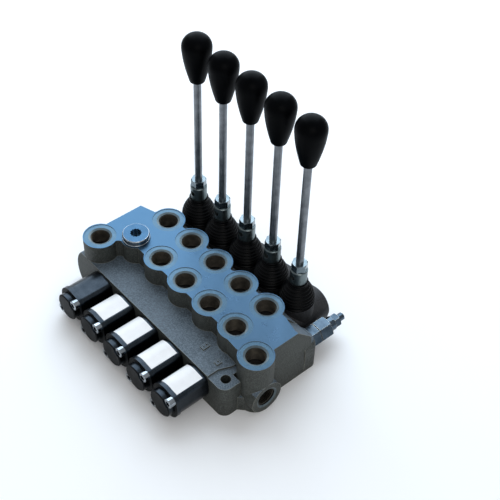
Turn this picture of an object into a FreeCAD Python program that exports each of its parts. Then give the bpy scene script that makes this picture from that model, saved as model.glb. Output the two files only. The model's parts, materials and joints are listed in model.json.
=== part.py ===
"""Five-spool hydraulic monoblock directional control valve with hand levers.

Frame: +Z up, +X along the row of sections (inlet end to outlet end), +Y from the
spring caps to the levers. The origin lies on the machined underside, below the
centre section's axis, midway between the two rows of work ports. Units: mm.
"""
import FreeCAD, Part
import math
import os

V = FreeCAD.Vector

# ---- driving dimensions ----------------------------------------------------
SECTIONS = 5
PITCH = 38.0                 # spacing of the spools
BODY_H = 64.0                # underside to machined port face
SPOOL_Z = 22.0               # height of every spool axis
PORT_ROW_Y = 19.0            # half the spacing of the two work port rows
BODY_FRONT = -65.5           # face that carries the spring housings
BODY_REAR = 38.0             # face that carries the lever housings
LEDGE_Z = 42.0               # cast shelf in front of the port bosses
EAR_Z = 40.0                 # seat of the mounting bolts
END_LEFT = -111.0
END_RIGHT_TOP = 119.5
END_RIGHT_BASE = 122.0       # the outlet end face has casting draft
SLOPE_TOP_Y = 24.0           # rear slope from the port face down to the rear face
SLOPE_BASE_Z = 46.0

# ports: G 1/2 parallel thread, held at its pitch radius
THREAD_R = 9.9
PORT_CHAMFER_R = 12.0
PORT_CHAMFER_DEPTH = 0.9
PORT_DEPTH = 18.0
PORT_SEAT_R = 16.4
SEAT_DEPTH = 0.5
BOSS_R = 17.4
PASSAGE_R = 6.0
INLET = (-101.0, -48.0)      # top inlet port, x and y
OUTLET = (114.0, -27.0)      # top outlet port
SIDE_PORT_Z = 18.0
SIDE_BOSS_R = 17.5
INLET_FACE_X = -121.0
BULGE_R = 37.0               # rounded cheek that carries the side inlet port
BULGE_X = -85.0
BULGE_REAR = -30.5
OUTLET_FACE_X = 131.5
GALLERY_R = 5.0
PLUG_BOSS_R = 15.0
PLUG_BOSS_Y = -21.5          # the closed port of section 1

# plug of section 1 on its sealing washer
PLUG_HEAD_R = 13.8
PLUG_HEAD_H = 5.0
PLUG_EDGE_ROUND = 1.1
PLUG_SOCKET_DEPTH = 8.0
WASHER_T = 2.0
WASHER_ROUND = 0.7

# mounting ears
EAR_R = 11.5
EAR_HOLE_R = 5.0             # clearance for M8, coarse series
FRONT_EAR = (103.5, -53.7)
FRONT_EAR_END_X = 114.5
FRONT_EAR_REAR_Y = -45.3
FRONT_EAR_ROUND = 9.0
REAR_EAR = (-99.5, 26.5)
LEDGE_END_X = 91.5           # the ledge steps down to the ear here
PAD_H = 1.4                  # two small raised cast pads on the ledge
DIMPLE_DEPTH = 1.2           # marks drilled into the pads
DIMPLES = ((63.2, -43.6, 0.95), (63.0, -47.4, 0.65), (85.4, -47.8, 0.95))   # x, y, radius

# spool, its seals and its centring spring
SPOOL_R = 8.0
BORE_R = 8.04
GROOVE_R = 6.0
GROOVES = ((-46, -38), (-29, -25), (-11, 11), (25, 27))
TANK_CORE_R = 10.5           # cored rings where the work passages meet the spool
SEAL_GROOVE_W = 2.8
SPOOL_FRONT = -66.0
SPOOL_END = 66.5
SEAL_FRONT_Y = -58.0
SEAL_REAR_Y = 32.0
SEAL_WIRE_R = 1.0
SEAL_MEAN_R = 9.12
BOLT_R = 3.0
BOLT_HEAD_R = 5.0
SEAT_R = 11.3
SEAT_T = 2.0
INNER_SEAT_Y = -73.0
OUTER_SEAT_Y = -93.0
SPRING_MEAN_R = 9.0
SPRING_WIRE_R = 1.1
SPRING_TURNS = 5

# oval housings at both ends of every spool
OVAL_R = 17.5
LOBE_R = 4.6
SCREW_AT = 11.7              # offset of each housing screw from the axis, x and z
FLANGE_FRONT = -103.0
FLANGE_T = 4.0
CAP_R = 14.0
CAP_FRONT = -110.0
SPRING_BORE_R = 12.0
SPRING_BORE_END = -106.0
SCREW_R = 3.0
SCREW_HOLE_R = 3.3
SCREW_HEAD_R = 5.0
SCREW_HEAD_H = 6.0
SCREW_SOCKET = 5.0
SCREW_GRIP = 14.0            # thread engagement in the body
LEVER_HOUSING_END = 89.5
LEVER_BORE_END = 84.0
LEVER_SCREW_SEAT_Y = 82.5    # the screw heads lie 1 mm below the end face

# lever
LEVER_Y = 59.2
PIVOT_Z = 42.0
PIVOT_R = 2.0
PIVOT_HALF = 14.0
BALL_R = 4.0
ARM_NECK_R = 2.8
ARM_R = 6.0
HOLDER_R = 8.5
HOLDER_BASE_Z = 64.0
HOLDER_TOP_Z = 89.5
SET_SCREW_R = 3.0
SET_SCREW_Z = 82.0
NUT_AF = 14.0
NUT_TOP_Z = 98.0
ROD_R = 3.8
ROD_BASE_Z = 78.0
ROD_TOP_Z = 244.0
KNOB_BASE_Z = 219.8
KNOB_TOP_Z = 271.4
KNOB_WIDE_Z = 258.5          # height of the widest section
KNOB_R = 14.4
KNOB_FOOT_R = 7.8
KNOB_TAPER = 1.65            # fullness of the taper below the widest section
KNOB_FOOT_ROUND = 2.5
COLLAR_R = 17.6
COLLAR_Z = 45.5
SLOT_X = 7.0
SLOT_Y = 12.0

# bellows
BELLOWS_TOP_Z = 74.0
BELLOWS_WALL = 1.2
BELLOWS_RIBS = 9

# relief valve cartridge in the outlet end
RELIEF_X = 106.5
RELIEF_BOSS_Y = 46.0
RELIEF_BOSS_LEFT = 95.2      # clears the last lever housing
RELIEF_BOSS_TOP = 40.0
RELIEF_BOSS_ROUND = 12.0
RELIEF_BOSS_REAR_ROUND = 5.0
RELIEF_BORE_R = 9.0
RELIEF_STEM_R = 9.0
RELIEF_SPRING_BORE_R = 4.5
RELIEF_SEAT_R = 2.5
RELIEF_GALLERY_R = 4.0
RELIEF_HEX_AF = 20.0
RELIEF_HEX_END = 72.7
RELIEF_GROOVE = (57.6, 58.5)     # parts the seat hexagon from the spring hexagon
RELIEF_GROOVE_R = 9.2
RELIEF_NECK_R = 7.4
RELIEF_NECK_END = 80.0
RELIEF_NUT_AF = 13.0
RELIEF_NUT_END = 87.0
RELIEF_SCREW_R = 4.0
RELIEF_SCREW_END = 95.0

SECTION_X = [(i - (SECTIONS - 1) / 2) * PITCH for i in range(SECTIONS)]
os.makedirs("parts", exist_ok=True)


# ---- helpers ---------------------------------------------------------------
def box(x0, x1, y0, y1, z0, z1):
    return Part.makeBox(x1 - x0, y1 - y0, z1 - z0, V(x0, y0, z0))


def cyl_x(r, x0, x1, y, z):
    return Part.makeCylinder(r, x1 - x0, V(x0, y, z), V(1, 0, 0))


def cyl_y(r, y0, y1, x, z):
    return Part.makeCylinder(r, y1 - y0, V(x, y0, z), V(0, 1, 0))


def cyl_z(r, z0, z1, x, y):
    return Part.makeCylinder(r, z1 - z0, V(x, y, z0), V(0, 0, 1))


def prism(points, along):
    """Extrude a closed polygon of 3-D points by the vector along."""
    wire = Part.makePolygon([V(*p) for p in points] + [V(*points[0])])
    return Part.Face(wire).extrude(V(*along))


def plan_prism(points, z0, z1):
    return prism([(x, y, z0) for x, y in points], (0, 0, z1 - z0))


def side_prism(points, x0, x1):
    return prism([(x0, y, z) for y, z in points], (x1 - x0, 0, 0))


def end_prism(points, y0, y1):
    return prism([(x, y0, z) for x, z in points], (0, y1 - y0, 0))


def hexagon_y(across_flats, y0, y1, x, z):
    r = across_flats / math.sqrt(3)
    corners = [math.radians(60 * k) for k in range(6)]
    return end_prism([(x + r * math.cos(a), z + r * math.sin(a)) for a in corners], y0, y1)


def hexagon_z(across_flats, z0, z1, x, y):
    r = across_flats / math.sqrt(3)
    corners = [math.radians(60 * k) for k in range(6)]
    return plan_prism([(x + r * math.cos(a), y + r * math.sin(a)) for a in corners], z0, z1)


def revolve(profile, origin, axis):
    """Turn a closed polygon of 3-D points once about an axis."""
    wire = Part.makePolygon([V(*p) for p in profile] + [V(*profile[0])])
    return Part.Face(wire).revolve(V(*origin), V(*axis), 360)


def turned_z(profile, x, y):
    """profile is a closed list of (radius, z)."""
    return revolve([(x + r, y, z) for r, z in profile], (x, y, 0), (0, 0, 1))


def turned_y(profile, x, z):
    """profile is a closed list of (radius, y)."""
    return revolve([(x + r, y, z) for r, y in profile], (x, 0, z), (0, 1, 0))


def fused(shapes):
    first = shapes[0]
    if len(shapes) > 1:
        first = first.multiFuse(shapes[1:])
    return first.removeSplitter()


def save(node, shapes):
    shape = shapes if isinstance(shapes, Part.Shape) else Part.makeCompound(shapes)
    shape.exportStep("parts/%s.step" % node)
    print("%-24s valid %s solids %d volume %.0f" % (node, shape.isValid(), len(shape.Solids), shape.Volume))


def oval_y(big_r, lobe_r, rising, y0, y1, x, grow=0.0):
    """Oval bar along Y: a round core with two lobes on one diagonal, joined by tangent flats."""
    reach = SCREW_AT * math.sqrt(2)
    axis = math.radians(45 if rising else 135)
    spread = math.acos((big_r - lobe_r) / reach)
    big_r += grow
    lobe_r += grow

    def rim(radius, offset, angle):
        return V(
            x + offset * math.cos(axis) + radius * math.cos(angle),
            y0,
            SPOOL_Z + offset * math.sin(axis) + radius * math.sin(angle),
        )

    stations = [
        (lobe_r, reach, axis - spread, axis + spread),
        (big_r, 0.0, axis + spread, axis + math.pi - spread),
        (lobe_r, -reach, axis + math.pi - spread, axis + math.pi + spread),
        (big_r, 0.0, axis + math.pi + spread, axis + 2 * math.pi - spread),
    ]
    edges = []
    for k, (radius, offset, start, end) in enumerate(stations):
        middle = (start + end) / 2
        points = [rim(radius, offset, a) for a in (start, middle, end)]
        edges.append(Part.Arc(*points).toShape())
        next_radius, next_offset, next_start, _ = stations[(k + 1) % 4]
        edges.append(Part.LineSegment(points[2], rim(next_radius, next_offset, next_start)).toShape())
    return Part.Face(Part.Wire(edges)).extrude(V(0, y1 - y0, 0))


def screw_spots(x, rising):
    sign = 1 if rising else -1
    return [(x + SCREW_AT * s, SPOOL_Z + SCREW_AT * s * sign) for s in (1, -1)]


# ---- monoblock body --------------------------------------------------------
def work_ports():
    """Open work ports as (x, y): the lever side of every section, then sections 2 to 5."""
    rear = [(x, PORT_ROW_Y) for x in SECTION_X]
    front = [(x, -PORT_ROW_Y) for x in SECTION_X[1:]]
    return rear + front


def port_block():
    """Upper part of the casting, from the ledge to the machined port face."""
    web = plan_prism(
        [(END_LEFT, -48), (END_LEFT, 10), (-94, 15.4), (-91, SLOPE_TOP_Y), (98, SLOPE_TOP_Y),
         (115.4, 19.8), (END_RIGHT_TOP, 11.9), (END_RIGHT_TOP, -12), (OUTLET[0], -27), (97.5, -36),
         (82, -35), (76, -29), (-64, -29), (-76, -33), (-83.5, -37), (-88, -44), (-101, -52)],
        LEDGE_Z - 2, BODY_H)
    bosses = [cyl_z(BOSS_R, LEDGE_Z - 2, BODY_H, x, y) for x, y in work_ports()]
    bosses.append(cyl_z(PLUG_BOSS_R, LEDGE_Z - 2, BODY_H, SECTION_X[0], PLUG_BOSS_Y))
    block = fused([web] + bosses)
    for neck_y, radius in ((-29, 3.0), (SLOPE_TOP_Y, 1.8)):
        necks = []
        for edge in block.Edges:
            if len(edge.Vertexes) != 2:
                continue
            a, b = edge.Vertexes[0].Point, edge.Vertexes[1].Point
            upright = abs(a.x - b.x) < 0.01 and abs(a.y - b.y) < 0.01
            if upright and abs(a.y - neck_y) < 0.6 and -62 < a.x < 57:
                necks.append(edge)
        block = block.makeFillet(radius, necks)
    return block


def casting():
    lower = plan_prism(
        [(INLET[0], BODY_FRONT), (LEDGE_END_X, BODY_FRONT), (LEDGE_END_X, -53), (97, -40), (100, BODY_REAR),
         (END_LEFT, BODY_REAR), (END_LEFT, INLET[1])],
        0, LEDGE_Z)
    ear_pocket = cyl_z(EAR_R + 3, EAR_Z, BODY_H, *REAR_EAR)
    lower = lower.cut(ear_pocket)
    rear_slope = side_prism(
        [(0, 0), (BODY_REAR, 0), (BODY_REAR, SLOPE_BASE_Z), (SLOPE_TOP_Y, BODY_H), (0, BODY_H)], -91, 100)
    outlet_end = end_prism(
        [(90, 0), (END_RIGHT_BASE, 0), (END_RIGHT_TOP, BODY_H), (90, BODY_H)], -40, BODY_REAR)
    outlet_end = outlet_end.common(side_prism(
        [(-12, 0), (BODY_REAR, 0), (BODY_REAR, SLOPE_BASE_Z), (20, BODY_H), (-12, BODY_H)], 90, 140))
    ear_shoulder = plan_prism(
        [(85, BODY_FRONT), (FRONT_EAR[0], BODY_FRONT), (FRONT_EAR[0], -27), (85, -27)], 0, EAR_Z)
    ear_bridge = plan_prism(
        [(100, -64), (113, -50), (129.5, -34.5), (131.5, -27), (100, -27)], 0, 19)
    relief_boss = box(RELIEF_BOSS_LEFT, END_RIGHT_BASE, 30, RELIEF_BOSS_Y, 0, RELIEF_BOSS_TOP)
    corners = [edge for edge in relief_boss.Edges
               if all(abs(v.Z - RELIEF_BOSS_TOP) < 0.01 for v in edge.Vertexes)
               and abs(edge.Vertexes[0].X - edge.Vertexes[1].X) < 0.01]
    relief_boss = relief_boss.makeFillet(RELIEF_BOSS_ROUND, corners)
    rear_rim = [edge for edge in relief_boss.Edges
                if all(abs(v.Y - RELIEF_BOSS_Y) < 0.01 and v.X > RELIEF_X for v in edge.Vertexes)
                and abs(edge.Vertexes[0].Z - edge.Vertexes[1].Z) > 1]
    relief_boss = relief_boss.makeFillet(RELIEF_BOSS_REAR_ROUND, rear_rim)
    inlet_column = cyl_z(SIDE_BOSS_R, 0, BODY_H, *INLET)
    outlet_column = cyl_z(SIDE_BOSS_R, 0, BODY_H, *OUTLET)
    inlet_side = cyl_y(BULGE_R, BODY_FRONT, BULGE_REAR, BULGE_X, SIDE_PORT_Z).common(
        box(-130, INLET[0], BODY_FRONT, BULGE_REAR, 0, LEDGE_Z))
    outlet_side = cyl_x(SIDE_BOSS_R, OUTLET[0], OUTLET_FACE_X, OUTLET[1], SIDE_PORT_Z)
    front_ear = box(85, FRONT_EAR_END_X, BODY_FRONT, FRONT_EAR_REAR_Y, 0, EAR_Z)
    ear_corner = [edge for edge in front_ear.Edges
                  if all(v.X > FRONT_EAR_END_X - 0.01 and v.Y < BODY_FRONT + 0.01 for v in edge.Vertexes)]
    front_ear = front_ear.makeFillet(FRONT_EAR_ROUND, ear_corner)
    pads = [box(60.2, 65.8, -49.5, -41, LEDGE_Z - 1, LEDGE_Z + PAD_H),
            box(82.8, 88.0, -51, -45, LEDGE_Z - 1, LEDGE_Z + PAD_H)]
    return fused([lower, rear_slope, outlet_end, ear_shoulder, ear_bridge, relief_boss, inlet_column,
                  outlet_column, inlet_side, outlet_side, front_ear, port_block()] + pads)


def top_port(x, y, seat_r=PORT_SEAT_R):
    """Threaded port with its chamfer, spotface and the passage down to the spool."""
    top = BODY_H - SEAT_DEPTH
    bottom = top - PORT_DEPTH
    mouth = turned_z(
        [(0, bottom - 4), (THREAD_R, bottom), (THREAD_R, top - PORT_CHAMFER_DEPTH), (PORT_CHAMFER_R, top),
         (seat_r, top), (seat_r, BODY_H + 1), (0, BODY_H + 1)], x, y)
    return fused([mouth, cyl_z(PASSAGE_R, SPOOL_Z, bottom, x, y)])


def side_port(face_x, inward, y, gallery_end):
    """Threaded port in an end face with the gallery that it feeds, along X."""
    rings = [(THREAD_R, face_x + inward * PORT_DEPTH), (THREAD_R, face_x + inward * PORT_CHAMFER_DEPTH),
             (PORT_CHAMFER_R, face_x), (PORT_CHAMFER_R, face_x - inward), (0, face_x - inward),
             (0, face_x + inward * (PORT_DEPTH + 4))]
    mouth = revolve([(x, y + r, SIDE_PORT_Z) for r, x in rings], (0, y, SIDE_PORT_Z), (1, 0, 0))
    start, end = sorted((face_x + inward * PORT_DEPTH, gallery_end))
    return fused([mouth, cyl_x(GALLERY_R, start, end, y, SIDE_PORT_Z)])


def body():
    shape = casting()
    cuts = [top_port(x, y) for x, y in work_ports()]
    cuts.append(top_port(SECTION_X[0], PLUG_BOSS_Y, PORT_CHAMFER_R))
    cuts.append(top_port(*INLET))
    cuts.append(top_port(*OUTLET))
    cuts.append(side_port(INLET_FACE_X, 1, INLET[1], 92))
    cuts.append(side_port(OUTLET_FACE_X, -1, OUTLET[1], -88))
    for x in SECTION_X:
        cuts.append(cyl_y(BORE_R, BODY_FRONT - 1, BODY_REAR + 1, x, SPOOL_Z))
        for y in (SEAL_FRONT_Y, SEAL_REAR_Y):
            groove = (y - SEAL_GROOVE_W / 2, y + SEAL_GROOVE_W / 2)
            cuts.append(cyl_y(SEAL_MEAN_R + SEAL_WIRE_R, *groove, x, SPOOL_Z))
        for y in (-PORT_ROW_Y, PORT_ROW_Y):
            cuts.append(cyl_y(TANK_CORE_R, y - 2.5, y + 2.5, x, SPOOL_Z))
        for sx, sz in screw_spots(x, True):
            cuts.append(cyl_y(SCREW_R, BODY_FRONT - 1, BODY_FRONT + SCREW_GRIP, sx, sz))
        for sx, sz in screw_spots(x, False):
            cuts.append(cyl_y(SCREW_R, BODY_REAR - SCREW_GRIP, BODY_REAR + 1, sx, sz))
    for x, y in (FRONT_EAR, REAR_EAR):
        cuts.append(cyl_z(EAR_HOLE_R, -1, BODY_H, x, y))
    for x, y, r in DIMPLES:
        cuts.append(cyl_z(r, LEDGE_Z + PAD_H - DIMPLE_DEPTH, LEDGE_Z + PAD_H + 1, x, y))
    cuts.append(cyl_y(RELIEF_BORE_R, 22, RELIEF_BOSS_Y + 1, RELIEF_X, SPOOL_Z))
    cuts.append(cyl_y(RELIEF_GALLERY_R, OUTLET[1], 22, RELIEF_X, SPOOL_Z))
    return shape.cut(cuts[0].multiFuse(cuts[1:]))


# ---- spool with its spring bolt --------------------------------------------
def spool(x):
    bar = cyl_y(SPOOL_R, SPOOL_FRONT, SPOOL_END, x, SPOOL_Z)
    for y0, y1 in GROOVES:
        ring = cyl_y(SPOOL_R + 1, y0, y1, x, SPOOL_Z).cut(cyl_y(GROOVE_R, y0, y1, x, SPOOL_Z))
        bar = bar.cut(ring)
    eye_flat = box(x - 9, x + 9, LEVER_Y - 8, SPOOL_END + 1, SPOOL_Z + 3.5, SPOOL_Z + 9)
    eye = cyl_z(BALL_R + 0.4, SPOOL_Z - 5.5, SPOOL_Z + 9, x, LEVER_Y)
    tapped = cyl_y(BOLT_R, SPOOL_FRONT - 1, SPOOL_FRONT + 12, x, SPOOL_Z)
    bar = bar.cut(eye_flat.multiFuse([eye, tapped]))
    outer_face = OUTER_SEAT_Y - SEAT_T
    bolt = turned_y([(0, outer_face - 3.5), (BOLT_HEAD_R, outer_face - 3.5), (BOLT_HEAD_R, outer_face),
                     (SEAT_R, outer_face), (SEAT_R, OUTER_SEAT_Y), (BOLT_R, OUTER_SEAT_Y),
                     (BOLT_R, SPOOL_FRONT + 12), (0, SPOOL_FRONT + 12)], x, SPOOL_Z)
    return [bar, bolt]


def inner_spring_seat(x):
    face = INNER_SEAT_Y - SEAT_T
    return cyl_y(SEAT_R, face, INNER_SEAT_Y, x, SPOOL_Z).cut(
        cyl_y(BOLT_R + 0.4, face - 1, INNER_SEAT_Y + 1, x, SPOOL_Z))


def coil_y(mean_r, wire_r, y0, y1, turns, x, z):
    """Compression spring along Y between two seats."""
    rise = y1 - y0 - 2 * wire_r
    helix = Part.makeHelix(rise / turns, rise, mean_r)
    start = V(mean_r, 0, 0)
    profile = Part.Wire(Part.makeCircle(wire_r, start, V(0, 1, 0)))
    coil = Part.Wire(helix).makePipeShell([profile], True, True)
    coil.rotate(V(0, 0, 0), V(1, 0, 0), -90)
    coil.translate(V(x, y0 + wire_r, z))
    return coil


def seal_rings():
    rings = []
    for x in SECTION_X:
        for y in (SEAL_FRONT_Y, SEAL_REAR_Y):
            rings.append(Part.makeTorus(SEAL_MEAN_R, SEAL_WIRE_R, V(x, y, SPOOL_Z), V(0, 1, 0)))
    return rings


# ---- spring housing --------------------------------------------------------
def spring_housing(x):
    tube = oval_y(OVAL_R, LOBE_R, True, FLANGE_FRONT, BODY_FRONT, x)
    flange = oval_y(OVAL_R, LOBE_R, True, FLANGE_FRONT, FLANGE_FRONT + FLANGE_T, x, grow=0.9)
    cap = turned_y([(0, CAP_FRONT), (CAP_R - 1, CAP_FRONT), (CAP_R, CAP_FRONT + 1), (CAP_R, FLANGE_FRONT + 1),
                    (0, FLANGE_FRONT + 1)], x, SPOOL_Z)
    shell = fused([tube, flange, cap])
    cuts = [cyl_y(SPOOL_R + 0.3, INNER_SEAT_Y, BODY_FRONT + 1, x, SPOOL_Z),
            cyl_y(SPRING_BORE_R, SPRING_BORE_END, INNER_SEAT_Y, x, SPOOL_Z)]
    for sx, sz in screw_spots(x, True):
        cuts.append(cyl_y(SCREW_HOLE_R, FLANGE_FRONT - 1, BODY_FRONT + 1, sx, sz))
        cuts.append(cyl_y(SCREW_HEAD_R + 0.7, CAP_FRONT - 1, FLANGE_FRONT, sx, sz))
    return shell.cut(cuts[0].multiFuse(cuts[1:]))


def cap_screw(sx, sz, head_y, tip_y):
    """Socket-head cap screw along Y, its head on the side away from the tip."""
    outward = -1 if tip_y > head_y else 1
    end_y = head_y + outward * SCREW_HEAD_H
    low, high = sorted((head_y, end_y))
    head = cyl_y(SCREW_HEAD_R, low, high, sx, sz)
    rim = [e for e in head.Edges if e.Closed and abs(e.CenterOfMass.y - end_y) < 0.01]
    head = head.makeFillet(0.5, rim)
    low, high = sorted((head_y, tip_y))
    shank = cyl_y(SCREW_R, low, high, sx, sz)
    low, high = sorted((end_y + outward, end_y - outward * 3))
    return fused([head, shank]).cut(hexagon_y(SCREW_SOCKET, low, high, sx, sz))


def section_label(x):
    """Blank adhesive label laid over the flat crown of a spring housing."""
    y0, y1 = FLANGE_FRONT + FLANGE_T + 0.6, BODY_FRONT - 3
    skin = oval_y(OVAL_R, LOBE_R, True, y0, y1, x, grow=0.25).cut(oval_y(OVAL_R, LOBE_R, True, y0, y1, x))
    return skin.common(box(x - 11, x + 12, y0, y1, SPOOL_Z + 5, SPOOL_Z + 25))


# ---- lever housing, bellows and lever --------------------------------------
def lever_housing(x):
    tube = oval_y(OVAL_R + 0.9, LOBE_R, False, BODY_REAR, LEVER_HOUSING_END, x)
    rim = [e for e in tube.Edges if all(abs(v.Y - LEVER_HOUSING_END) < 0.01 for v in e.Vertexes)]
    tube = tube.makeFillet(2.0, rim)
    collar = cyl_z(COLLAR_R, SPOOL_Z, COLLAR_Z, x, LEVER_Y)
    shell = fused([tube, collar])
    cuts = [cyl_y(SPRING_BORE_R, BODY_REAR - 1, LEVER_BORE_END, x, SPOOL_Z),
            box(x - SLOT_X, x + SLOT_X, LEVER_Y - SLOT_Y, LEVER_Y + SLOT_Y, SPOOL_Z, COLLAR_Z + 1),
            cyl_x(PIVOT_R, x - PIVOT_HALF, x + PIVOT_HALF, LEVER_Y, PIVOT_Z)]
    for sx, sz in screw_spots(x, False):
        cuts.append(cyl_y(SCREW_HOLE_R, BODY_REAR - 1, LEVER_HOUSING_END + 1, sx, sz))
        cuts.append(cyl_y(SCREW_HEAD_R + 0.6, LEVER_SCREW_SEAT_Y, LEVER_HOUSING_END + 1, sx, sz))
    return shell.cut(cuts[0].multiFuse(cuts[1:]))


def bellows_profile():
    """Outer wall as (radius, z) from the foot to the neck: lip, smooth band, ribs, neck."""
    outline = [(17.2, COLLAR_Z), (17.2, 47.3), (16.2, 48.0), (16.2, 51.5)]
    rib_base, rib_top = 52.0, 71.0
    step = (rib_top - rib_base) / BELLOWS_RIBS
    for k in range(BELLOWS_RIBS):
        share = k / (BELLOWS_RIBS - 1)
        crest = 17.9 - 7.9 * share ** 1.7
        z = rib_base + k * step
        outline.append((crest, z + 0.55 * step))
        outline.append((crest - 1.0, z + step))
    outline += [(9.9, 71.8), (9.9, BELLOWS_TOP_Z)]
    return outline


def bellows(x):
    outer = bellows_profile()
    inner = [(max(r - BELLOWS_WALL, HOLDER_R + 0.2), z) for r, z in outer]
    return turned_z(outer + inner[::-1], x, LEVER_Y)


def lever_holder(x):
    ball = Part.makeSphere(BALL_R, V(x, LEVER_Y, SPOOL_Z))
    edge = 0.6
    arm = turned_z(
        [(0, SPOOL_Z), (ARM_NECK_R, SPOOL_Z), (ARM_NECK_R, 30), (ARM_R, 36), (ARM_R, HOLDER_BASE_Z - 3),
         (HOLDER_R, HOLDER_BASE_Z), (HOLDER_R, HOLDER_TOP_Z - edge), (HOLDER_R - edge, HOLDER_TOP_Z),
         (0, HOLDER_TOP_Z)], x, LEVER_Y)
    cuts = [cyl_x(PIVOT_R + 0.05, x - 8, x + 8, LEVER_Y, PIVOT_Z),
            cyl_z(ROD_R, ROD_BASE_Z, HOLDER_TOP_Z + 1, x, LEVER_Y),
            cyl_y(SET_SCREW_R, LEVER_Y - HOLDER_R - 1, LEVER_Y - ROD_R, x, SET_SCREW_Z)]
    return fused([ball, arm]).cut(cuts[0].multiFuse(cuts[1:]))


def chamfered_hexagon(across_flats, low, high):
    """Tool that rounds both faces of a nut: a disc with 30 degree edges, as (radius, height)."""
    corner = across_flats / math.sqrt(3)
    flat = across_flats / 2
    drop = (corner - flat) * math.tan(math.radians(30)) + 0.1
    return [(0, low), (flat, low), (corner + 0.1, low + drop), (corner + 0.1, high - drop), (flat, high),
            (0, high)]


def lock_nut(x):
    nut = hexagon_z(NUT_AF, HOLDER_TOP_Z, NUT_TOP_Z, x, LEVER_Y)
    nut = nut.common(turned_z(chamfered_hexagon(NUT_AF, HOLDER_TOP_Z, NUT_TOP_Z), x, LEVER_Y))
    return nut.cut(cyl_z(ROD_R, HOLDER_TOP_Z - 1, NUT_TOP_Z + 1, x, LEVER_Y))


def knob(x):
    """Egg-shaped grip: half an ellipsoid above the widest section, a full taper below it."""
    rise = KNOB_TOP_Z - KNOB_WIDE_Z
    depth = KNOB_WIDE_Z - KNOB_BASE_Z - KNOB_FOOT_ROUND
    steps = 7
    outline = []
    for k in range(steps):
        turn = math.pi / 2 * (1 - k / steps)
        outline.append(V(x + KNOB_R * math.cos(turn), LEVER_Y, KNOB_WIDE_Z + rise * math.sin(turn)))
    for k in range(steps + 1):
        share = k / steps
        r = KNOB_R - (KNOB_R - KNOB_FOOT_R) * share ** KNOB_TAPER
        outline.append(V(x + r, LEVER_Y, KNOB_WIDE_Z - share * depth))
    side = Part.BSplineCurve()
    side.interpolate(outline)
    foot_r = KNOB_FOOT_R - KNOB_FOOT_ROUND
    knee = KNOB_FOOT_ROUND * math.sqrt(0.5)
    foot = Part.Arc(
        outline[-1],
        V(x + foot_r + knee, LEVER_Y, KNOB_BASE_Z + KNOB_FOOT_ROUND - knee),
        V(x + foot_r, LEVER_Y, KNOB_BASE_Z))
    low = V(x, LEVER_Y, KNOB_BASE_Z)
    wire = Part.Wire([
        side.toShape(), foot.toShape(), Part.LineSegment(foot.EndPoint, low).toShape(),
        Part.LineSegment(low, outline[0]).toShape()])
    grip = Part.Face(wire).revolve(V(x, LEVER_Y, 0), V(0, 0, 1), 360)
    return grip.cut(cyl_z(ROD_R, KNOB_BASE_Z - 1, ROD_TOP_Z, x, LEVER_Y))


# ---- port plug and relief valve --------------------------------------------
def port_plug():
    x, y = SECTION_X[0], PLUG_BOSS_Y
    washer_top = BODY_H + WASHER_T
    top = washer_top + PLUG_HEAD_H
    shank = turned_z([(0, BODY_H - 13), (THREAD_R, BODY_H - 13), (THREAD_R, BODY_H), (10.2, washer_top),
                      (0, washer_top)], x, y)
    head = cyl_z(PLUG_HEAD_R, washer_top, top, x, y)
    head = head.makeFillet(PLUG_EDGE_ROUND, [edge for edge in head.Edges if edge.Closed])
    splines = 12
    points = []
    for k in range(2 * splines):
        r = 6.1 if k % 2 == 0 else 5.2
        turn = math.pi * k / splines
        points.append((x + r * math.cos(turn), y + r * math.sin(turn)))
    return fused([shank, head]).cut(plan_prism(points, top - PLUG_SOCKET_DEPTH, top + 1))


def plug_washer():
    x, y = SECTION_X[0], PLUG_BOSS_Y
    disc = cyl_z(14.3, BODY_H, BODY_H + WASHER_T, x, y)
    disc = disc.makeFillet(WASHER_ROUND, [edge for edge in disc.Edges if edge.Closed])
    return disc.cut(cyl_z(11.6, BODY_H - 1, BODY_H + WASHER_T + 1, x, y))


def relief_cartridge():
    flange = hexagon_y(RELIEF_HEX_AF, RELIEF_BOSS_Y, RELIEF_HEX_END, RELIEF_X, SPOOL_Z)
    dome = chamfered_hexagon(RELIEF_HEX_AF, RELIEF_BOSS_Y, RELIEF_HEX_END)
    flange = flange.common(turned_y(dome, RELIEF_X, SPOOL_Z))
    waist = cyl_y(2 * RELIEF_HEX_AF, *RELIEF_GROOVE, RELIEF_X, SPOOL_Z)
    flange = flange.cut(waist.cut(cyl_y(RELIEF_GROOVE_R, *RELIEF_GROOVE, RELIEF_X, SPOOL_Z)))
    neck = cyl_y(RELIEF_NECK_R, RELIEF_HEX_END - 1, RELIEF_NECK_END, RELIEF_X, SPOOL_Z)
    stem = cyl_y(RELIEF_STEM_R, 23, RELIEF_BOSS_Y + 1, RELIEF_X, SPOOL_Z)
    cuts = cyl_y(RELIEF_SPRING_BORE_R, 27, 72, RELIEF_X, SPOOL_Z).multiFuse([
        cyl_y(RELIEF_SEAT_R, 22, 28, RELIEF_X, SPOOL_Z), cyl_y(RELIEF_SCREW_R, 71, 81, RELIEF_X, SPOOL_Z)])
    return fused([flange, neck, stem]).cut(cuts)


def relief_poppet():
    return turned_y([(0, 23.8), (4.0, 29.0), (4.45, 29.5), (4.45, 36), (2.5, 36), (2.5, 40), (0, 40)],
                    RELIEF_X, SPOOL_Z)


def relief_lock_nut():
    nut = hexagon_y(RELIEF_NUT_AF, RELIEF_NECK_END, RELIEF_NUT_END, RELIEF_X, SPOOL_Z)
    rounding = chamfered_hexagon(RELIEF_NUT_AF, RELIEF_NECK_END, RELIEF_NUT_END)
    nut = nut.common(turned_y(rounding, RELIEF_X, SPOOL_Z))
    return nut.cut(cyl_y(RELIEF_SCREW_R, RELIEF_NECK_END - 1, RELIEF_NUT_END + 1, RELIEF_X, SPOOL_Z))


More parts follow.
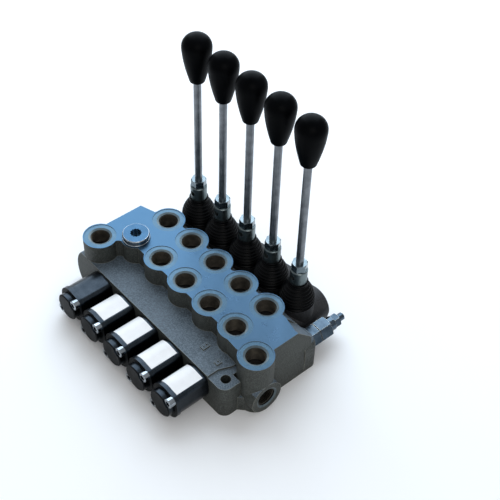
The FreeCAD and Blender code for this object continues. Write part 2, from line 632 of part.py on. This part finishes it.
def relief_screw():
    screw = turned_y([(0, 62), (3.95, 62), (3.95, RELIEF_SCREW_END - 0.8), (3.1, RELIEF_SCREW_END),
                      (0, RELIEF_SCREW_END)], RELIEF_X, SPOOL_Z)
    return screw.cut(hexagon_y(4.0, RELIEF_SCREW_END - 4, RELIEF_SCREW_END + 1, RELIEF_X, SPOOL_Z))


# ---- write every node ------------------------------------------------------
save("monoblock_body", body())
for number, section_x in enumerate(SECTION_X, start=1):
    save("spool_%d" % number, spool(section_x))
    save("spring_housing_%d" % number, spring_housing(section_x))
    save("centering_spring_%d" % number, coil_y(
        SPRING_MEAN_R, SPRING_WIRE_R, OUTER_SEAT_Y, INNER_SEAT_Y - SEAT_T, SPRING_TURNS, section_x, SPOOL_Z))
    save("lever_housing_%d" % number, lever_housing(section_x))
    save("bellows_%d" % number, bellows(section_x))
    save("lever_holder_%d" % number, lever_holder(section_x))
    save("lock_nut_%d" % number, lock_nut(section_x))
    save("lever_rod_%d" % number, cyl_z(ROD_R, ROD_BASE_Z, ROD_TOP_Z, section_x, LEVER_Y))
    save("knob_%d" % number, knob(section_x))

save("inner_spring_seats", [inner_spring_seat(x) for x in SECTION_X])
save("spool_seals", seal_rings())
save("lever_pivot_pins", [
    cyl_x(PIVOT_R, x - PIVOT_HALF, x + PIVOT_HALF, LEVER_Y, PIVOT_Z) for x in SECTION_X])
save("spring_housing_screws", [
    cap_screw(sx, sz, FLANGE_FRONT, BODY_FRONT + SCREW_GRIP)
    for x in SECTION_X for sx, sz in screw_spots(x, True)])
save("lever_housing_screws", [
    cap_screw(sx, sz, LEVER_SCREW_SEAT_Y, BODY_REAR - SCREW_GRIP)
    for x in SECTION_X for sx, sz in screw_spots(x, False)])
save("section_labels", [section_label(x) for x in SECTION_X[1:]])
save("port_plug", port_plug())
save("plug_washer", plug_washer())
save("relief_cartridge", relief_cartridge())
save("relief_poppet", relief_poppet())
save("relief_spring", coil_y(3.3, 0.6, 36, 62, 6, RELIEF_X, SPOOL_Z))
save("relief_lock_nut", relief_lock_nut())
save("relief_screw", relief_screw())
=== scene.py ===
"""Looks of a five-spool hydraulic monoblock valve with hand levers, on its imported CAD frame."""
import json
import math

import bpy
from mathutils import Matrix, Vector


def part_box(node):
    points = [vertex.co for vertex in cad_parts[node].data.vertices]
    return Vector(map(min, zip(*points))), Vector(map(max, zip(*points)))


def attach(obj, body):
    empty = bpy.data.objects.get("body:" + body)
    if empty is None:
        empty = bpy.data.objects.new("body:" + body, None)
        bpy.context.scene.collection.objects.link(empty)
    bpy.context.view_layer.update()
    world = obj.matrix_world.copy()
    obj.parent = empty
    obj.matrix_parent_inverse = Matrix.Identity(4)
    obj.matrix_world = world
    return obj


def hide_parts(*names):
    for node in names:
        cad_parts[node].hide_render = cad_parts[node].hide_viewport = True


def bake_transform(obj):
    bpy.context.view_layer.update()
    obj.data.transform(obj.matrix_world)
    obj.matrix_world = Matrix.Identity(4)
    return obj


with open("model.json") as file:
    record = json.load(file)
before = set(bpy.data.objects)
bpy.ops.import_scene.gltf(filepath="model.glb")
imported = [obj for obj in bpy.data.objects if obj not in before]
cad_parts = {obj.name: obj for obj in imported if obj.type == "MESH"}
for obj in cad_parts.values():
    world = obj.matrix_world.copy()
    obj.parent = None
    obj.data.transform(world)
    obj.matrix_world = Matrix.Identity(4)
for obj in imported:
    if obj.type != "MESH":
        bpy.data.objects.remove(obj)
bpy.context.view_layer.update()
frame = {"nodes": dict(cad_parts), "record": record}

MM = 0.001
SECTIONS = 5
BLACK = (0, 0, 0, 1)
WHITE = (1, 1, 1, 1)


# ---- places that come from the frame ---------------------------------------
def middle(node):
    low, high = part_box(node)
    return (Vector(low) + Vector(high)) / 2


SECTION_X = [middle("lever_rod_%d" % n).x for n in range(1, SECTIONS + 1)]
LEVER_Y = middle("lever_rod_1").y
SPOOL_Z = middle("inner_spring_seats").z
TOP_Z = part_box("monoblock_body")[1][2]
MOUNTS = {mount["name"]: mount for mount in frame["record"]["mounts"]}
PORTS = [mount for mount in MOUNTS.values() if mount["kind"] == "threaded_hole"]
PLUGGED = {
    "pos_m": (SECTION_X[0], middle("plug_washer").y, MOUNTS["inlet_top"]["pos_m"][2]),
    "axis": (0, 0, 1)}


# ---- camera ----------------------------------------------------------------
CAMERA_AZIMUTH = math.radians(47.76)
CAMERA_ELEVATION = math.radians(45.762)
CAMERA_ROLL = math.radians(2.107)
CAMERA_PLACE = (0.537903, -0.424030, 0.796816)
LENS_MM = 73.864
SENSOR_MM = 36


def add_camera():
    side = Vector((math.cos(CAMERA_AZIMUTH), math.sin(CAMERA_AZIMUTH), 0))
    ahead = Vector((
        -math.cos(CAMERA_ELEVATION) * math.sin(CAMERA_AZIMUTH),
        math.cos(CAMERA_ELEVATION) * math.cos(CAMERA_AZIMUTH),
        -math.sin(CAMERA_ELEVATION)))
    up = side.cross(ahead)
    right = side * math.cos(CAMERA_ROLL) + up * math.sin(CAMERA_ROLL)
    upright = up * math.cos(CAMERA_ROLL) - side * math.sin(CAMERA_ROLL)
    data = bpy.data.cameras.new("camera")
    data.sensor_width = SENSOR_MM
    data.lens = LENS_MM
    data.clip_start = 0.01
    camera = bpy.data.objects.new("camera", data)
    bpy.context.scene.collection.objects.link(camera)
    turn = Matrix((right, upright, -ahead)).transposed().to_4x4()
    camera.matrix_world = Matrix.Translation(CAMERA_PLACE) @ turn
    bpy.context.scene.camera = camera


add_camera()


# ---- material helpers ------------------------------------------------------
MIX_A, MIX_B, MIX_RESULT = 6, 7, 2     # colour sockets of a Mix node


def linear(red, green, blue):
    """A display colour of 0 to 255 as scene-linear RGBA."""
    def channel(value):
        value /= 255
        return value / 12.92 if value <= 0.04045 else ((value + 0.055) / 1.055) ** 2.4
    return (channel(red), channel(green), channel(blue), 1)


class Recipe:
    """A material under construction: its nodes, its shader and the wiring between them."""

    def __init__(self, name, metallic, roughness, specular=0.5):
        self.material = bpy.data.materials.new(name)
        self.material.use_nodes = True
        self.tree = self.material.node_tree
        self.shader = self.tree.nodes["Principled BSDF"]
        self.shader.inputs["Metallic"].default_value = metallic
        self.shader.inputs["Roughness"].default_value = roughness
        self.shader.inputs["Specular IOR Level"].default_value = specular
        self.coordinates = self.node("ShaderNodeTexCoord").outputs["Object"]
        self.last_normal = None

    def node(self, kind, **settings):
        node = self.tree.nodes.new(kind)
        for key, value in settings.items():
            setattr(node, key, value)
        return node

    def link(self, source, target):
        self.tree.links.new(source, target)

    def mapped(self, setting, value):
        """Object coordinates with one setting of a Mapping node, such as Scale or Location."""
        mapping = self.node("ShaderNodeMapping")
        mapping.inputs[setting].default_value = value
        self.link(self.coordinates, mapping.inputs["Vector"])
        return mapping.outputs["Vector"]

    def noise(self, scale, detail=3, roughness=0.55, vector=None):
        noise = self.node("ShaderNodeTexNoise")
        noise.inputs["Scale"].default_value = scale
        noise.inputs["Detail"].default_value = detail
        noise.inputs["Roughness"].default_value = roughness
        self.link(vector or self.coordinates, noise.inputs["Vector"])
        return noise.outputs["Fac"]

    def ramp(self, value, low, dark, high, light):
        """One colour up to the value low, another from the value high, and a blend between."""
        ramp = self.node("ShaderNodeValToRGB")
        for element, position, colour in zip(ramp.color_ramp.elements, (low, high), (dark, light)):
            element.position = position
            element.color = colour
        self.link(value, ramp.inputs["Fac"])
        return ramp.outputs["Color"]

    def rescaled(self, value, from_range, to_range=(0, 1)):
        """Map one range of a value onto another."""
        remap = self.node("ShaderNodeMapRange")
        remap.inputs["From Min"].default_value = from_range[0]
        remap.inputs["From Max"].default_value = from_range[1]
        remap.inputs["To Min"].default_value = to_range[0]
        remap.inputs["To Max"].default_value = to_range[1]
        self.link(value, remap.inputs["Value"])
        return remap.outputs["Result"]

    def spread(self, value, low, high):
        """Map the middle of a noise value onto a range, for roughness."""
        return self.rescaled(value, (0.3, 0.7), (low, high))

    def bump(self, height, strength, distance):
        """Add relief on top of the relief so far."""
        bump = self.node("ShaderNodeBump")
        bump.inputs["Strength"].default_value = strength
        bump.inputs["Distance"].default_value = distance
        self.link(height, bump.inputs["Height"])
        if self.last_normal:
            self.link(self.last_normal, bump.inputs["Normal"])
        self.last_normal = bump.outputs["Normal"]

    def edge_mask(self, radius, low, high):
        """White along edges, from how far a rounded normal leans away from the true one."""
        rounded = self.node("ShaderNodeBevel", samples=6)
        rounded.inputs["Radius"].default_value = radius
        geometry = self.node("ShaderNodeNewGeometry")
        lean = self.node("ShaderNodeVectorMath", operation="DISTANCE")
        self.link(rounded.outputs["Normal"], lean.inputs[0])
        self.link(geometry.outputs["Normal"], lean.inputs[1])
        return self.ramp(lean.outputs["Value"], low, BLACK, high, WHITE)

    def tinted(self, factor, base, colour):
        """Mix a base colour towards one fixed colour where the factor is white."""
        mix = self.node("ShaderNodeMix", data_type="RGBA")
        mix.inputs[MIX_B].default_value = colour
        self.link(factor, mix.inputs["Factor"])
        self.link(base, mix.inputs[MIX_A])
        return mix.outputs[MIX_RESULT]

    def finish(self, colour, roughness=None):
        self.link(colour, self.shader.inputs["Base Color"])
        if roughness:
            self.link(roughness, self.shader.inputs["Roughness"])
        if self.last_normal:
            self.link(self.last_normal, self.shader.inputs["Normal"])
        return self.material


# ---- kinds of material -----------------------------------------------------
def cast_skin(name, dark, light, fleck, wear_and_highlight):
    """Sand-cast iron: coarse grain, soft swells, pale grains, and pale edges that are partly wear and
    partly a painted highlight.
    """
    recipe = Recipe(name, metallic=0.25, roughness=0.6)
    broad = recipe.noise(scale=38, detail=4)
    grain = recipe.noise(scale=800, detail=4, roughness=0.7)
    swell = recipe.noise(scale=170)
    base = recipe.ramp(broad, 0.32, dark, 0.68, light)
    grains = recipe.ramp(grain, 0.42, BLACK, 0.64, WHITE)
    colour = recipe.tinted(grains, base, fleck)
    # pale edges: partly edge wear, partly a painted highlight
    edges = recipe.edge_mask(radius=0.85 * MM, low=0.1, high=0.8)
    colour = recipe.tinted(edges, colour, wear_and_highlight)
    recipe.bump(swell, strength=0.4, distance=0.8 * MM)
    recipe.bump(grain, strength=0.6, distance=0.35 * MM)
    return recipe.finish(colour, recipe.spread(grain, 0.5, 0.72))


def milled_skin(name, left, right):
    """Face-milled iron: faint arcs of the cutter, blotches, and a painted sky reflection: a blue tint
    that drifts slowly along the block.
    """
    recipe = Recipe(name, metallic=0.85, roughness=0.3)
    position = recipe.node("ShaderNodeSeparateXYZ")
    recipe.link(recipe.coordinates, position.inputs[0])
    # painted sky reflection: a blue tint, bluer towards -X, drifting along the block
    along = recipe.rescaled(position.outputs["X"], (-0.11, 0.11))
    sky_reflection_drift = recipe.ramp(along, 0, left, 1, right)
    cutter = recipe.node("ShaderNodeTexWave", wave_type="RINGS", rings_direction="Z")
    cutter.inputs["Scale"].default_value = 260
    cutter.inputs["Distortion"].default_value = 1.2
    recipe.link(recipe.mapped("Location", (0.05, 0.32, 0)), cutter.inputs["Vector"])
    blotch = recipe.noise(scale=70, detail=4)
    shade = recipe.ramp(blotch, 0.3, (0.82, 0.84, 0.86, 1), 0.7, WHITE)
    tint = recipe.node("ShaderNodeMix", data_type="RGBA", blend_type="MULTIPLY")
    tint.inputs["Factor"].default_value = 1
    recipe.link(sky_reflection_drift, tint.inputs[MIX_A])
    recipe.link(shade, tint.inputs[MIX_B])
    recipe.bump(cutter.outputs["Fac"], strength=0.06, distance=0.05 * MM)
    recipe.bump(recipe.noise(scale=2600, detail=2), strength=0.12, distance=0.04 * MM)
    return recipe.finish(tint.outputs[MIX_RESULT], recipe.spread(blotch, 0.26, 0.4))


def metal(name, dark, light, roughness, brushed=None, metallic=1.0, wear_and_highlight=None):
    """Plated or machined steel. brushed stretches the grain; the edge colour argument is partly wear and
    partly a painted highlight.
    """
    recipe = Recipe(name, metallic, roughness)
    vector = recipe.mapped("Scale", brushed) if brushed else None
    lines = recipe.noise(scale=1500, roughness=0.6, vector=vector)
    clouds = recipe.noise(scale=120)
    recipe.bump(lines, strength=0.15, distance=0.05 * MM)
    colour = recipe.ramp(clouds, 0.3, dark, 0.7, light)
    if wear_and_highlight:
        # pale edges: partly wear, partly a painted highlight
        edges = recipe.edge_mask(radius=0.35 * MM, low=0.15, high=0.8)
        colour = recipe.tinted(edges, colour, wear_and_highlight)
    return recipe.finish(colour, recipe.spread(lines, roughness * 0.75, roughness * 1.3))


def moulded(name, dark, light, roughness, grain, depth, specular=0.5, index=1.5):
    """Rubber, plastic or paint. grain and depth are the scale and height of its moulded texture."""
    recipe = Recipe(name, 0.0, roughness, specular)
    recipe.shader.inputs["IOR"].default_value = index
    fine = recipe.noise(grain, detail=4)
    clouds = recipe.noise(scale=60, detail=4)
    recipe.bump(fine, strength=0.35, distance=depth)
    colour = recipe.ramp(clouds, 0.3, dark, 0.7, light)
    return recipe.finish(colour, recipe.spread(clouds, roughness * 0.8, roughness * 1.25))


# ---- materials -------------------------------------------------------------
WALL = cast_skin(
    "cast_iron", linear(30, 32, 29), linear(50, 53, 49),
    fleck=linear(80, 84, 80), wear_and_highlight=linear(138, 138, 128))
# a lighter, bluer copy of the cast iron for faces that look upwards: painted sky light
CAST_IRON_SKY_LIT = cast_skin(
    "cast_iron_painted_sky_light", linear(58, 70, 78), linear(80, 92, 101),
    fleck=linear(110, 124, 136), wear_and_highlight=linear(150, 156, 154))
LEVER_HOUSING = cast_skin(
    "lever_housing_skin", linear(20, 20, 21), linear(35, 35, 36),
    fleck=linear(56, 57, 60), wear_and_highlight=linear(96, 96, 96))
# milled top, its blue tint a painted sky reflection
MILLED_SKY_REFLECTION = milled_skin("milled_iron_painted_sky_reflection", linear(61, 93, 118), linear(67, 92, 113))
# spotfaced iron, tinted blue by a painted sky reflection
SPOTFACE_SKY_REFLECTION = metal("spotfaced_iron_painted_sky_reflection", linear(64, 87, 103), linear(72, 96, 112), 0.33, metallic=0.85)
CHAMFER = metal("chamfered_iron", linear(78, 90, 96), linear(98, 109, 112), 0.42, metallic=0.75)
# near-black iron inside the ports: painted shade of the holes
HOLE_SHADE = metal("bored_iron_painted_shade", linear(9, 8, 7), linear(18, 16, 14), 0.5, metallic=0.5)
THREAD = metal("cut_thread", linear(44, 41, 36), linear(76, 71, 62), 0.36, metallic=0.8)
CHROME = metal("bright_plate", linear(128, 136, 143), linear(160, 167, 173), 0.13)
# the plug's level top, tinted blue by a painted sky reflection
PLUG_TOP_SKY_REFLECTION = metal("plug_top_painted_sky_reflection", linear(50, 76, 98), linear(58, 86, 110), 0.28)
ZINC = metal("zinc_plate", linear(70, 82, 92), linear(90, 102, 112), 0.26)
HOLDER = metal(
    "dull_zinc_plate", linear(92, 104, 106), linear(120, 131, 132), 0.36, wear_and_highlight=linear(205, 214, 216))
NUT = metal(
    "nut_zinc_plate", linear(96, 108, 114), linear(128, 139, 144), 0.22, wear_and_highlight=linear(215, 224, 228))
RELIEF = metal(
    "relief_plate", linear(58, 70, 80), linear(80, 94, 106), 0.2, wear_and_highlight=linear(220, 214, 196))
ROD = metal(
    "plated_rod", linear(100, 104, 108), linear(128, 132, 136), 0.34, brushed=(1, 1, 0.04))
SPRING = metal("spring_wire", linear(50, 50, 52), linear(80, 80, 82), 0.35)
HOUSING = metal(
    "blackened_housing", linear(42, 48, 54), linear(52, 58, 64), 0.3, wear_and_highlight=linear(84, 90, 96))
CAP_FACE = moulded(
    "blackened_end", linear(14, 16, 18), linear(24, 26, 28), 0.5,
    grain=900, depth=0.08 * MM, specular=0.12, index=1.4)
RUBBER = moulded(
    "bellows_rubber", linear(2, 3, 4), linear(5, 6, 8), 0.3,
    grain=2200, depth=0.01 * MM, specular=0.12, index=1.4)
SEAL = moulded(
    "seal_rubber", linear(10, 10, 10), linear(20, 20, 20), 0.5,
    grain=1800, depth=0.04 * MM, specular=0.3)
KNOB = moulded(
    "knob_plastic", linear(2, 3, 4), linear(5, 6, 8), 0.36,
    grain=1800, depth=0.03 * MM, specular=0.05, index=1.35)
LABEL = moulded(
    "label_film", linear(232, 232, 232), linear(244, 244, 244), 0.4,
    grain=700, depth=0.02 * MM)


# ---- the casting, by the kind of surface -----------------------------------
SURFACES = (WALL, CAST_IRON_SKY_LIT, MILLED_SKY_REFLECTION, SPOTFACE_SKY_REFLECTION, CHAMFER, HOLE_SHADE)
MOUTH_R = 12.1 * MM            # just past the rim of a port's chamfer
BORE_R = 10.2 * MM             # just past the thread bore of a port
PORT_SPAN = (-20 * MM, 1.1 * MM)   # along a port's axis, from the foot of its chamfer
CHAMFER_FOOT = -0.1 * MM
BORE_TOP = 0.05 * MM
CHAMFER_LEAN = (0.5, 0.97)     # how far a chamfer's normal agrees with its port's axis
LEVEL = 0.99                   # least upward part of the normal of a level face
UPPER = 0.6                    # the same for the sloping cast faces that look upwards
MILLED_DROP = 0.2 * MM         # below the machined top of the casting
SPOTFACE_DROP = 0.8 * MM


def surface_kind(centre, normal):
    """The material of the casting at one face."""
    for mount in PORTS + [PLUGGED]:
        axis = Vector(mount["axis"])
        offset = centre - Vector(mount["pos_m"])
        outside = offset.dot(axis)
        distance = (offset - axis * outside).length
        lean = abs(normal.dot(axis))
        if distance < MOUTH_R and PORT_SPAN[0] < outside < PORT_SPAN[1]:
            if CHAMFER_LEAN[0] < lean < CHAMFER_LEAN[1] and outside > CHAMFER_FOOT:
                return CHAMFER
            # the walls of the bores are near black: painted shade
            if distance < BORE_R and outside < BORE_TOP:
                return HOLE_SHADE
    # level top faces: milled iron with its painted sky reflection
    if normal.z > LEVEL and centre.z > TOP_Z - MILLED_DROP:
        return MILLED_SKY_REFLECTION
    if normal.z > LEVEL and centre.z > TOP_Z - SPOTFACE_DROP:
        return SPOTFACE_SKY_REFLECTION
    # cast faces that look upwards take the lighter copy, painted sky light; the others keep the plain
    # cast iron
    return CAST_IRON_SKY_LIT if normal.z > UPPER else WALL


# ---- materials of the CAD nodes --------------------------------------------
CAP_LEAN = -0.6                # the end caps of the spring housings look forwards, along -Y


def dress(node, *materials):
    """Give a node its materials, the first of them on every face."""
    mesh = frame["nodes"][node].data
    mesh.materials.clear()
    for material in materials:
        mesh.materials.append(material)
    return mesh.polygons


def dress_section(n):
    dress("spool_%d" % n, CHROME)
    for face in dress("spring_housing_%d" % n, HOUSING, CAP_FACE):
        face.material_index = int(face.normal.y < CAP_LEAN)
    dress("lever_housing_%d" % n, LEVER_HOUSING)
    dress("lever_holder_%d" % n, HOLDER)
    dress("lock_nut_%d" % n, NUT)
    dress("lever_rod_%d" % n, ROD)
    dress("knob_%d" % n, KNOB)


def dress_nodes():
    for face in dress("monoblock_body", *SURFACES):
        face.material_index = SURFACES.index(surface_kind(face.center, face.normal))
    for n in range(1, SECTIONS + 1):
        dress_section(n)
    # the plug's level top takes the painted sky reflection; its other faces stay bright plate
    for face in dress("port_plug", CHROME, PLUG_TOP_SKY_REFLECTION):
        face.material_index = int(face.normal.z > LEVEL)
    for node in ("plug_washer", "relief_poppet", "spring_housing_screws"):
        dress(node, CHROME)
    for node in ("inner_spring_seats", "lever_pivot_pins", "lever_housing_screws"):
        dress(node, ZINC)
    for node in ("relief_cartridge", "relief_lock_nut", "relief_screw"):
        dress(node, RELIEF)
    dress("spool_seals", SEAL)
    dress("section_labels", LABEL)


dress_nodes()


# ---- mesh helpers ----------------------------------------------------------
def mesh_piece(name, points, faces, material, body, smooth=True):
    """A piece made of points and faces, which rides a body unless body is None."""
    mesh = bpy.data.meshes.new(name)
    mesh.from_pydata([tuple(p) for p in points], [], faces)
    mesh.validate()
    mesh.materials.append(material)
    if smooth:
        mesh.shade_smooth()
    piece = bpy.data.objects.new(name, mesh)
    bpy.context.scene.collection.objects.link(piece)
    if body:
        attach(piece, body)
    return piece


def basis(axis):
    """Two unit vectors square to a unit axis."""
    first = axis.orthogonal().normalized()
    return first, axis.cross(first)


def around(first, second, angle):
    """The direction at an angle between two unit vectors."""
    return first * math.cos(angle) + second * math.sin(angle)


# ---- port threads ----------------------------------------------------------
THREAD_PITCH = 1.814 * MM      # G 1/2
THREAD_DEPTH = 0.85 * MM
THREAD_LENGTH = 15.5 * MM
THREAD_START = 0.6 * MM        # below the foot of the chamfer
THREAD_SINK = 0.05 * MM        # the root lies this far inside the wall of the bore
THREAD_STEPS = 40              # points in one turn
FOOT_SHARE = 0.36              # half widths of the ridge, as shares of the pitch
CREST_SHARE = 0.08
RUN_OUT = 4                    # the ridge grows to full height over a quarter of a turn
LEAST_HEIGHT = 0.02            # share of the height left at the ends of the ridge


def thread_ridge(name, mouth, axis, root, body, material):
    """One helical ridge along an axis, from the mouth of a hole inwards."""
    first, second = basis(axis)
    count = int(THREAD_LENGTH / THREAD_PITCH * THREAD_STEPS)
    foot = FOOT_SHARE * THREAD_PITCH
    top = CREST_SHARE * THREAD_PITCH
    points, faces = [], []
    for k in range(count + 1):
        outward = around(first, second, 2 * math.pi * k / THREAD_STEPS)
        centre = mouth - axis * (THREAD_PITCH * k / THREAD_STEPS)
        height = min(1, RUN_OUT * k / THREAD_STEPS, RUN_OUT * (count - k) / THREAD_STEPS)
        crest = root - THREAD_DEPTH * max(height, LEAST_HEIGHT)
        for radius, shift in ((root, foot), (crest, top), (crest, -top), (root, -foot)):
            points.append(centre + outward * radius + axis * shift)
    for k in range(count):
        a, b = 4 * k, 4 * (k + 1)
        for j in range(4):
            i = (j + 1) % 4
            faces.append((a + j, a + i, b + i, b + j))
    faces.append((0, 1, 2, 3))
    faces.append(tuple(4 * count + j for j in (3, 2, 1, 0)))
    return mesh_piece(name, points, faces, material, body, smooth=False)


def add_port_threads():
    for mount in PORTS:
        axis = Vector(mount["axis"]).normalized()
        mouth = Vector(mount["pos_m"]) - axis * THREAD_START
        root = mount["dims"]["r_mm"] * MM + THREAD_SINK
        thread_ridge(mount["name"] + "_thread", mouth, axis, root, "valve_body", THREAD)


# ---- bellows ---------------------------------------------------------------
BELLOWS_SEGMENTS = 96
BELLOWS_WALL = 1.2 * MM
BELLOWS_NECK_R = 9.9 * MM
RIBS = 7
RIB_DEPTH = 2.3 * MM
RIB_STEPS = 8                  # points on one rib
RIB_FULLNESS = 0.55            # under 1 widens the crests and narrows the grooves
RIB_TAPER = 1.7                # over 1 keeps the lower ribs wide
RIB_START = 3.9 * MM           # above the foot
RIB_END = 2.6 * MM             # below the top
FOOT_LIP = ((0.6, 0), (0.1, 0.3), (0.1, 1.4), (0.6, 1.8), (1.5, 2.3), (1.6, 3.4))   # mm in, mm up


def turned_piece(name, outline, x, y, material, body, segments):
    """Turn a closed outline of (radius, z) about an upright axis."""
    points, faces = [], []
    count = len(outline)
    for k in range(segments):
        angle = 2 * math.pi * k / segments
        for radius, z in outline:
            points.append((x + radius * math.cos(angle), y + radius * math.sin(angle), z))
    for k in range(segments):
        a, b = k * count, (k + 1) % segments * count
        for j in range(count):
            i = (j + 1) % count
            faces.append((a + j, b + j, b + i, a + i))
    return mesh_piece(name, points, faces, material, body)


def bellows_outline(low, high, foot_r, neck_r):
    """Foot lip, smooth band, ribs that shrink towards the neck, and the wall inside them."""
    outer = [(foot_r - inset * MM, low + rise * MM) for inset, rise in FOOT_LIP]
    rib_low, rib_high = low + RIB_START, high - RIB_END
    rise = (rib_high - rib_low) / RIBS
    for k in range(RIBS):
        share = k / (RIBS - 1)
        crest = foot_r - (foot_r - neck_r) * share ** RIB_TAPER
        for step in range(RIB_STEPS):
            swing = math.sin(math.pi * step / RIB_STEPS) ** RIB_FULLNESS
            outer.append((crest - RIB_DEPTH * (1 - swing), rib_low + (k + step / RIB_STEPS) * rise))
    outer += [
        (neck_r - 0.1 * MM, rib_high + 0.4 * MM),
        (neck_r, rib_high + 0.9 * MM),
        (neck_r, high - 0.5 * MM),
        (neck_r - 0.5 * MM, high)]
    inner = [(max(r, neck_r) - BELLOWS_WALL, z) for r, z in outer[::3]]
    inner[0] = (inner[0][0], low)
    inner[-1] = (neck_r - BELLOWS_WALL, high)
    return outer + inner[::-1]


def add_bellows():
    for n, x in enumerate(SECTION_X, start=1):
        low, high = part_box("bellows_%d" % n)
        foot_r = (high[0] - low[0]) / 2
        outline = bellows_outline(low[2], high[2], foot_r, BELLOWS_NECK_R)
        name = "bellows_skin_%d" % n
        skin = turned_piece(name, outline, x, LEVER_Y, RUBBER, None, BELLOWS_SEGMENTS)
        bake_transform(skin)
        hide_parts("bellows_%d" % n)


# ---- springs ---------------------------------------------------------------
WIRE_SIDES = 10
COIL_STEPS = 28                # points in one turn


def coil_piece(name, start, end, mean_r, wire_r, turns, material):
    """Round-wire compression spring between two points."""
    start, end = Vector(start), Vector(end)
    axis = (end - start).normalized()
    first, second = basis(axis)
    length = (end - start).length - 2 * wire_r
    count = int(turns * COIL_STEPS)
    points, faces = [], []
    for k in range(count + 1):
        outward = around(first, second, 2 * math.pi * k / COIL_STEPS)
        centre = start + axis * (wire_r + length * k / count) + outward * mean_r
        for j in range(WIRE_SIDES):
            points.append(centre + around(outward, axis, 2 * math.pi * j / WIRE_SIDES) * wire_r)
    for k in range(count):
        for j in range(WIRE_SIDES):
            i = (j + 1) % WIRE_SIDES
            a, b = k * WIRE_SIDES, (k + 1) * WIRE_SIDES
            faces.append((a + j, a + i, b + i, b + j))
    faces.append(tuple(range(WIRE_SIDES)))
    faces.append(tuple(count * WIRE_SIDES + j for j in reversed(range(WIRE_SIDES))))
    return mesh_piece(name, points, faces, material, None)


def add_spring(name, node, x, mean_r, wire_r, turns):
    """A wound spring along Y in place of a node's plain one."""
    low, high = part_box(node)
    start, end = (x, high[1], SPOOL_Z), (x, low[1], SPOOL_Z)
    coil = coil_piece(name, start, end, mean_r, wire_r, turns, SPRING)
    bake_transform(coil)
    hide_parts(node)


def add_springs():
    for n, x in enumerate(SECTION_X, start=1):
        add_spring(
            "centering_coil_%d" % n, "centering_spring_%d" % n, x,
            mean_r=9 * MM, wire_r=1.1 * MM, turns=5)
    add_spring(
        "relief_coil", "relief_spring", middle("relief_spring").x,
        mean_r=3.3 * MM, wire_r=0.6 * MM, turns=6)


# ---- set screws of the levers ----------------------------------------------
SCREW_SEGMENTS = 36
SCREW_R = 2.95 * MM
SCREW_LENGTH = 2.1 * MM
SCREW_BEVEL = 0.12             # share of the radius
SOCKET_FLATS = 3 * MM
SOCKET_DEPTH = 1.8 * MM
SCREW_INSET = 2.4 * MM         # of its face behind the front of the holder
SCREW_DROP = 7.5 * MM          # of its axis below the top of the holder


def socket_screw(name, face, axis, material, body):
    """Round pin with a hexagon socket in its face. axis is a unit vector out of the face."""
    first, second = basis(axis)
    bevel = SCREW_BEVEL * SCREW_R
    points, faces = [], []
    for k in range(SCREW_SEGMENTS):
        angle = 2 * math.pi * k / SCREW_SEGMENTS
        outward = around(first, second, angle)
        flat = SOCKET_FLATS / 2 / math.cos((angle + math.pi / 6) % (math.pi / 3) - math.pi / 6)
        rings = (
            (SCREW_R, SCREW_LENGTH), (SCREW_R, bevel), (SCREW_R - bevel, 0),
            (flat, 0), (flat, SOCKET_DEPTH))
        for radius, drop in rings:
            points.append(face + outward * radius - axis * drop)
    for k in range(SCREW_SEGMENTS):
        a, b = 5 * k, 5 * ((k + 1) % SCREW_SEGMENTS)
        for j in range(4):
            faces.append((a + j, b + j, b + j + 1, a + j + 1))
    faces.append(tuple(5 * k for k in reversed(range(SCREW_SEGMENTS))))
    faces.append(tuple(5 * k + 4 for k in range(SCREW_SEGMENTS)))
    return mesh_piece(name, points, faces, material, body, smooth=False)


def add_set_screws():
    """Set screw in the cross hole of every lever holder."""
    for n, x in enumerate(SECTION_X, start=1):
        low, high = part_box("lever_holder_%d" % n)
        face = Vector((x, low[1] + SCREW_INSET, high[2] - SCREW_DROP))
        # the set screw takes the near-black bore colour: painted shade in its hole
        screw = socket_screw("set_screw_%d" % n, face, Vector((0, -1, 0)), HOLE_SHADE, "lever_%d" % n)


add_port_threads()
add_bellows()
add_springs()
add_set_screws()


# ---- stage and light -------------------------------------------------------
FLOOR_HALF = 6
LIGHT_TARGET = Vector((0, 0, 0.05))


def add_floor():
    recipe = Recipe("floor", metallic=0.0, roughness=0.9, specular=0.2)
    colour = recipe.ramp(recipe.noise(scale=2), 0.4, (0.93, 0.93, 0.93, 1), 0.6, (0.95, 0.95, 0.95, 1))
    corners = [(x * FLOOR_HALF, y * FLOOR_HALF, 0) for x, y in ((-1, -1), (1, -1), (1, 1), (-1, 1))]
    mesh = bpy.data.meshes.new("floor")
    mesh.from_pydata(corners, [], [(0, 1, 2, 3)])
    mesh.materials.append(recipe.finish(colour))
    floor = bpy.data.objects.new("floor", mesh)
    bpy.context.scene.collection.objects.link(floor)


def add_softbox(name, place, size, power, colour):
    data = bpy.data.lights.new(name, "AREA")
    data.shape = "SQUARE"
    data.size = size
    data.energy = power
    data.color = colour
    light = bpy.data.objects.new(name, data)
    bpy.context.scene.collection.objects.link(light)
    light.location = place
    light.rotation_euler = (LIGHT_TARGET - Vector(place)).to_track_quat("-Z", "Y").to_euler()


def add_light():
    world = bpy.data.worlds.new("world")
    world.use_nodes = True
    background = world.node_tree.nodes["Background"]
    background.inputs["Color"].default_value = (0.95, 0.97, 1, 1)
    background.inputs["Strength"].default_value = 0.5
    bpy.context.scene.world = world
    add_softbox("far_sky", (-0.95, 0.85, 1.15), size=2.0, power=44, colour=(0.76, 0.88, 1))
    add_softbox("near_fill", (1.1, -0.6, 1.3), size=0.9, power=5, colour=(1, 0.98, 0.95))
    bpy.context.scene.view_settings.view_transform = "Standard"


add_floor()
add_light()
